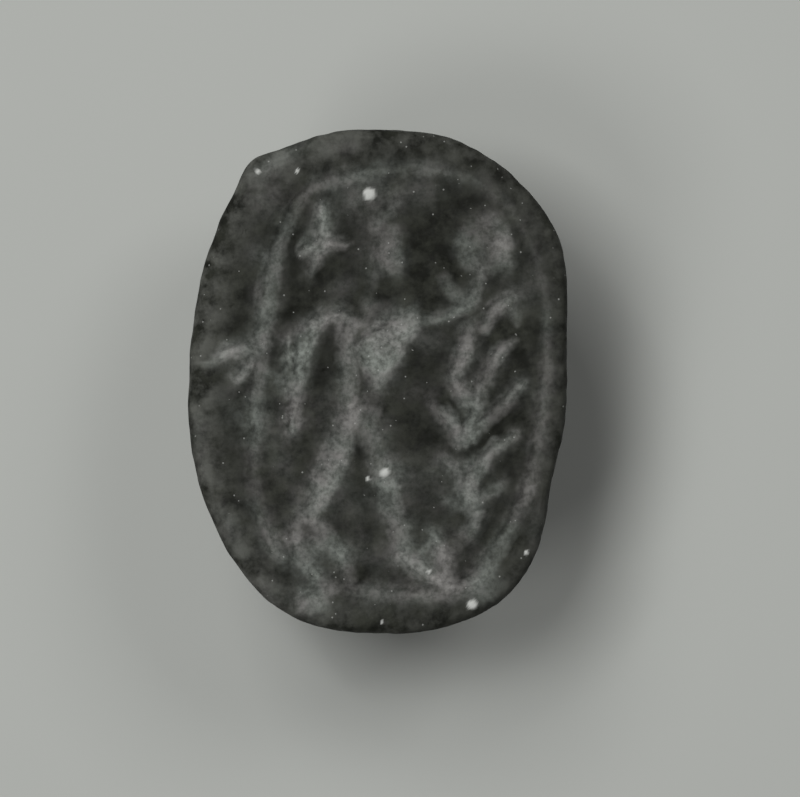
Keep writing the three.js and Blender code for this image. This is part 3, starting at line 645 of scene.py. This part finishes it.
def back(x, y, z):
    across = np.abs(x / BACK_WIDTH) ** BACK_SQUARENESS
    length = np.abs((y - BACK_Y) / BACK_LENGTH) ** BACK_SQUARENESS
    plan = across + length
    below = (BACK_RIM_Z - z) / np.where(z < BACK_RIM_Z, BACK_DEEP, -BACK_UP)
    form = (plan ** (BACK_ROUNDNESS / BACK_SQUARENESS) + below**BACK_ROUNDNESS) ** (1 / BACK_ROUNDNESS)
    reach = np.sqrt(x**2 + (y - BACK_Y) ** 2 + (z - BACK_RIM_Z) ** 2)
    return reach * (1 - 1 / np.maximum(form, 1e-6))


def flank(x, y, z):
    angle = np.arctan2(y, x)
    return smooth_max(np.hypot(x, y) - rim(angle) + FLANK_INSET, FLANK_LOW - z, FLANK_BLEND)


def head(x, y, z):
    half, lowest = np.interp(y, HEAD_Y, HEAD_HALF), np.interp(y, HEAD_Y, HEAD_LOW)
    deep = HEAD_TOP - lowest
    across = np.abs(x / half) ** HEAD_SQUARENESS
    below = (np.clip(HEAD_TOP - z, 0, None) / deep) ** HEAD_SQUARENESS
    plate = ((across + below) ** (1 / HEAD_SQUARENESS) - 1) * np.minimum(half, deep)
    plate = smooth_max(plate, y - HEAD_Y[2], LIP_BLEND)
    steps = np.abs(np.abs(x) - NOTCH_SPACING * (np.abs(x) > NOTCH_SPACING / 2))
    notch = steps / NOTCH_HALF - (y - HEAD_Y[2] + NOTCH_DEEP) / NOTCH_DEEP
    plate = smooth_max(plate, -notch * NOTCH_HALF, NOTCH_BLEND)
    to_eye = (np.abs(x) - EYE_AT[0]) ** 2 + (y - EYE_AT[1]) ** 2 + (z - EYE_AT[2]) ** 2
    return smooth_min(np.maximum(plate, HEAD_Y[0] - y), np.sqrt(to_eye) - EYE_RADIUS, EYE_BLEND)


def leg_spine(start, end, mirrored):
    """A leg's middle line, along the flank from one bearing and height to another."""
    share = np.linspace(0, 1, 9)
    bearing = np.radians(start[0] + (end[0] - start[0]) * share)
    if mirrored:
        bearing = math.pi - bearing
    radius = rim(bearing) - LEG_INSET
    z = start[1] + (end[1] - start[1]) * share
    return np.column_stack([radius * np.cos(bearing), radius * np.sin(bearing), z])


def beetle_field(points):
    """Roughly the distance from points to the stone below its plinth, negative inside."""
    x, y, z = points.T
    stone = smooth_min(back(x, y, z) + back_lines(x, y), flank(x, y, z), FLANK_BLEND)
    stone = smooth_min(stone, head(x, y, z), HEAD_BLEND)
    for (start, end), mirrored in product(LEGS, (False, True)):
        spine = leg_spine(start, end, mirrored)
        near = near_mask(points, spine, LEG_NEAR)
        leg = along(points[near], spine, np.full(len(spine), LEG_RADIUS))[0]
        stone[near] = smooth_min(stone[near], leg, LEG_BLEND)
    stone = smooth_max(stone, BORE_RADIUS - np.hypot(x, z - BORE_Z), BORE_BLEND)
    stone = np.maximum(stone, z - (HEIGHT - PLINTH_THICK + BEETLE_OVERLAP))
    stone += layered(points, BEETLE_NOISE)
    return np.maximum(stone, -z)


def surface_net(field, corner, step):
    """A field's zero surface: one point for each crossed cell, one face for each crossed grid line."""
    inside = field < 0
    spots, owners, faces = [], [], []
    for axis in range(3):
        unit = np.eye(3, dtype=int)[axis]
        sides = [a for a in range(3) if a != axis]
        ahead = np.roll(inside, -1, axis)
        crossed = np.argwhere(inside != ahead)
        crossed = crossed[np.all((crossed > 0) & (crossed < np.array(field.shape) - 2), axis=1)]
        here = tuple(crossed.T)
        there = tuple((crossed + unit).T)
        share = field[here] / (field[here] - field[there])
        spot = crossed + share[:, None] * unit
        around = []
        for first, second in ((0, 0), (-1, 0), (-1, -1), (0, -1)):
            cell = crossed.copy()
            cell[:, sides[0]] += first
            cell[:, sides[1]] += second
            around.append(np.ravel_multi_index(tuple(cell.T), field.shape))
            spots.append(spot)
            owners.append(around[-1])
        quads = np.stack(around, axis=1)
        turned = inside[here] == (axis == 1)
        quads[turned] = quads[turned, ::-1]
        faces.append(quads)
    cells, owners = np.unique(np.concatenate(owners), return_inverse=True)
    spots = np.concatenate(spots)
    count = np.bincount(owners)
    mean = np.stack([np.bincount(owners, spots[:, a]) / count for a in range(3)], axis=1)
    return corner + mean * step, np.searchsorted(cells, np.concatenate(faces))


def relaxed(points, faces, rounds):
    """Draws each point halfway to the middle of its neighbours, to take the grid's teeth off edges."""
    ends = np.concatenate([faces[:, [i, (i + 1) % 4]] for i in range(4)])
    ends = np.concatenate([ends, ends[:, ::-1]])
    count = np.bincount(ends[:, 0])
    for _ in range(rounds):
        others = points[ends[:, 1]]
        middle = [np.bincount(ends[:, 0], others[:, a]) / count for a in range(3)]
        points = (points + np.stack(middle, axis=1)) / 2
    return points


def beetle():
    """The beetle's points and faces. No plane of its grid lies on the floor, where the stone is flat."""
    reach = np.array([HALF_WIDTH + BEETLE_MARGIN, HALF_LENGTH + BEETLE_MARGIN])
    lows = np.array([*-reach, -3.5 * BEETLE_STEP])
    highs = np.array([*reach, HEIGHT - PLINTH_THICK + 4 * BEETLE_STEP])
    counts = np.ceil((highs - lows) / BEETLE_STEP).astype(int)
    axes = [first + BEETLE_STEP * np.arange(n + 1) for first, n in zip(lows, counts)]
    grid = np.meshgrid(*axes, indexing="ij")
    points = np.stack([axis.ravel() for axis in grid], axis=1)
    field = beetle_field(points).reshape(grid[0].shape)
    points, faces = surface_net(field, lows, BEETLE_STEP)
    return relaxed(points, faces, RELAX_ROUNDS), faces.tolist()


# ---- meshes ----
def outline_middle():
    """The middle of the outline's box, which the frame puts at the origin."""
    angle = np.linspace(0, 2 * math.pi, 721)
    x, y = rim(angle) * np.cos(angle), rim(angle) * np.sin(angle)
    return np.array([(x.min() + x.max()) / 2, (y.min() + y.max()) / 2, 0])


def to_object(name, points, faces):
    """Makes an object of points in millimetres."""
    mesh = bpy.data.meshes.new(name)
    mesh.from_pydata(((points - outline_middle()) * MM).tolist(), [], faces)
    made = bpy.data.objects.new(name, mesh)
    bpy.context.collection.objects.link(made)
    return made


def union(first, second):
    """Joins two closed objects into the first."""
    join = first.modifiers.new("join", "BOOLEAN")
    join.operation = "UNION"
    join.solver = "MANIFOLD"
    join.object = second
    bpy.context.view_layer.update()
    made = bpy.data.meshes.new_from_object(first.evaluated_get(bpy.context.evaluated_depsgraph_get()))
    first.modifiers.remove(join)
    first.data = made
    bpy.data.objects.remove(second)


def mark(mesh, name, values):
    """Stores a number at each point of a mesh."""
    mesh.attributes.new(name, "FLOAT", "POINT").data.foreach_set("value", values.astype(np.float32))


def mark_stone(mesh):
    """Stores where the stone is cut, worn or limy, for its material; the worn share is also painted
    light, greater on the lamps' side.
    """
    flat = np.empty(len(mesh.vertices) * 3)
    mesh.vertices.foreach_get("co", flat)
    points = flat.reshape(-1, 3) / MM + outline_middle()
    plan, (x, y, z) = points[:, :2], points.T
    on_top = in_zone(z, DUST_ZONE)
    grooves = smooth_step((FLANK_LOW - z) / GROOVE_FADE) * back_lines(x, y) / BACK_LINE_DEPTH
    mark(mesh, "dust", on_top * Cuts(plan).dust + GROOVE_DUST * grooves)
    mark(mesh, "lime", in_zone(z, LIME_ZONE) * grains(plan))
    angle = np.arctan2(y, x)
    inset = rim(angle) - np.hypot(x, y)
    # Painted light: the rubbed edge is made paler on the side the lamps shine from, and least on the far
    # side.
    facing = smooth_step(0.5 + 0.5 * np.cos(angle - math.radians(LIT_EDGE_BEARING)))
    side = WORN_LEAST + (1 - WORN_LEAST) * facing
    mark(mesh, "worn", on_top * side * smooth_step(1 - inset / WORN_REACH))


# ---- materials ----
class Nodes:
    """Adds and wires the nodes of one material. A value is a number, a colour or a socket."""

    MIX_FIRST, MIX_SECOND, MIX_RESULT = 6, 7, 2  # the mix node's colour sockets, which share their names

    def __init__(self, name):
        self.material = bpy.data.materials.new(name)
        self.material.use_nodes = True
        self.tree = self.material.node_tree
        self.shader = self.tree.nodes["Principled BSDF"]

    def add(self, kind, **inputs):
        node = self.tree.nodes.new(kind)
        for name, value in inputs.items():
            self.put(node.inputs[name], value)
        return node

    def put(self, socket, value):
        if isinstance(value, bpy.types.NodeSocket):
            self.tree.links.new(value, socket)
        elif isinstance(value, tuple):
            socket.default_value = (*value, 1)
        else:
            socket.default_value = value

    def shade(self, name, value):
        self.put(self.shader.inputs[name], value)

    def place(self):
        return self.add("ShaderNodeTexCoord").outputs["Object"]

    def noise(self, size, detail, roughness):
        """Noise from 0 to 1 with lumps of about the given millimetres."""
        node = self.add("ShaderNodeTexNoise", Vector=self.place(), Scale=1 / (size * MM))
        self.put(node.inputs["Detail"], detail)
        self.put(node.inputs["Roughness"], roughness)
        return node.outputs["Fac"]

    def pattern(self, size, detail, roughness, part, drawn_to):
        """Noise of which a part of the range is drawn out to another range."""
        node = self.add("ShaderNodeMapRange", Value=self.noise(size, detail, roughness))
        for name, value in zip(("From Min", "From Max", "To Min", "To Max"), (*part, *drawn_to)):
            self.put(node.inputs[name], value)
        return node.outputs["Result"]

    def calculate(self, kind, first, second):
        node = self.add("ShaderNodeMath")
        node.operation = kind
        self.put(node.inputs[0], first)
        self.put(node.inputs[1], second)
        return node.outputs[0]

    def times(self, first, second):
        return self.calculate("MULTIPLY", first, second)

    def attribute(self, name):
        node = self.add("ShaderNodeAttribute")
        node.attribute_name = name
        return node.outputs["Fac"]

    def mix(self, share, first, second):
        node = self.add("ShaderNodeMix")
        node.data_type = "RGBA"
        self.put(node.inputs["Factor"], share)
        self.put(node.inputs[self.MIX_FIRST], first)
        self.put(node.inputs[self.MIX_SECOND], second)
        return node.outputs[self.MIX_RESULT]


def stone_material():
    """Near-black stone, mottled, rubbed pale at the edge and painted paler there on the lamps' side,
    with dust in the cuts, specks and lime.
    """
    n = Nodes("dark_stone")
    sway = n.calculate("ADD", n.times(n.pattern(*BLOTCH), BLOTCH_SHARE), 1 - BLOTCH_SHARE)
    stone = n.mix(n.times(sway, n.pattern(*MOTTLE)), STONE_DARK, STONE_PALE)
    # The pale edge: wear, and painted light on the side the lamps shine from.
    stone = n.mix(n.times(n.attribute("worn"), n.pattern(*RUB)), stone, RUBBED_AND_LIT)
    dust = n.mix(n.pattern(*WARMTH), DUST, DUST_WARM)
    thick = n.times(n.attribute("dust"), n.times(n.pattern(*PATCHY), n.pattern(*GRAINY)))
    stone = n.mix(thick, stone, dust)
    cells = n.add("ShaderNodeTexVoronoi", Vector=n.place(), Scale=1 / (SPECK_SPACING * MM))
    speck = n.calculate("LESS_THAN", cells.outputs["Distance"], SPECK_SIZE)
    chosen = n.calculate("GREATER_THAN", n.noise(*SPECK_NOISE), SPECK_ABOVE)
    stone = n.mix(n.times(n.times(speck, chosen), SPECK_SHARE), stone, LIME)
    n.shade("Base Color", n.mix(n.attribute("lime"), stone, LIME))
    n.shade("Roughness", n.pattern(*SHEEN))
    n.shade("Specular IOR Level", SPECULAR)
    bump = n.add("ShaderNodeBump", Height=n.noise(*BUMP_NOISE), Strength=BUMP_STRENGTH)
    n.put(bump.inputs["Distance"], BUMP_HEIGHT * MM)
    n.shade("Normal", bump.outputs["Normal"])
    return n.material


def floor_material():
    n = Nodes("floor_grey")
    n.shade("Base Color", FLOOR_GREY)
    n.shade("Roughness", FLOOR_ROUGHNESS)
    n.shade("Specular IOR Level", 0.0)
    return n.material


# ---- the scene ----
def scarab():
    made = to_object("carved_scarab", *plinth())
    union(made, to_object("beetle", *beetle()))
    made.data.shade_smooth()
    made.data.set_sharp_from_angle(angle=math.radians(SHARP_ANGLE))
    mark_stone(made.data)
    made.data.materials.clear()
    made.data.materials.append(stone_material())
    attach(made, "root")
    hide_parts("scarab")


def floor():
    signs = ((-1, -1), (1, -1), (1, 1), (-1, 1))
    made = bpy.data.meshes.new("floor")
    made.from_pydata([(FLOOR_HALF * x, FLOOR_HALF * y, 0) for x, y in signs], [], [(0, 1, 2, 3)])
    made.materials.append(floor_material())
    ground = bpy.data.objects.new("floor", made)
    bpy.context.collection.objects.link(ground)


def area_light(name, bearing, rise, power):
    """A square lamp that faces the stone from a bearing and an angle above the floor, in degrees."""
    light = bpy.data.lights.new(name, "AREA")
    light.size = LAMP_SIZE
    light.energy = power
    lamp = bpy.data.objects.new(name, light)
    turn, up = math.radians(bearing), math.radians(rise)
    away = Vector((math.cos(turn) * math.cos(up), math.sin(turn) * math.cos(up), math.sin(up)))
    target = Vector((0, 0, HEIGHT * MM / 2))
    lamp.location = target + away * LAMP_DISTANCE
    lamp.rotation_euler = (-away).to_track_quat("-Z", "Y").to_euler()
    bpy.context.collection.objects.link(lamp)


def lights():
    for lamp in LAMPS:
        area_light(*lamp)
    world = bpy.data.worlds.new("studio")
    world.use_nodes = True
    background = world.node_tree.nodes["Background"]
    background.inputs["Color"].default_value = (1, 1, 1, 1)
    background.inputs["Strength"].default_value = AMBIENT
    bpy.context.scene.world = world


def camera():
    lens = bpy.data.cameras.new("camera")
    lens.sensor_fit = "HORIZONTAL"
    lens.angle = 2 * math.atan(FRAME_WIDTH / 2 / CAMERA_HEIGHT)
    lens.clip_start = 0.01
    eye = bpy.data.objects.new("camera", lens)
    middle = outline_middle()
    x, y = FRAME_MIDDLE[0] - middle[0], FRAME_MIDDLE[1] - middle[1]
    eye.location = (x * MM, y * MM, (HEIGHT + CAMERA_HEIGHT) * MM)
    bpy.context.collection.objects.link(eye)
    bpy.context.scene.camera = eye


bpy.context.scene.view_settings.view_transform = "Standard"
camera()
lights()
floor()
scarab()
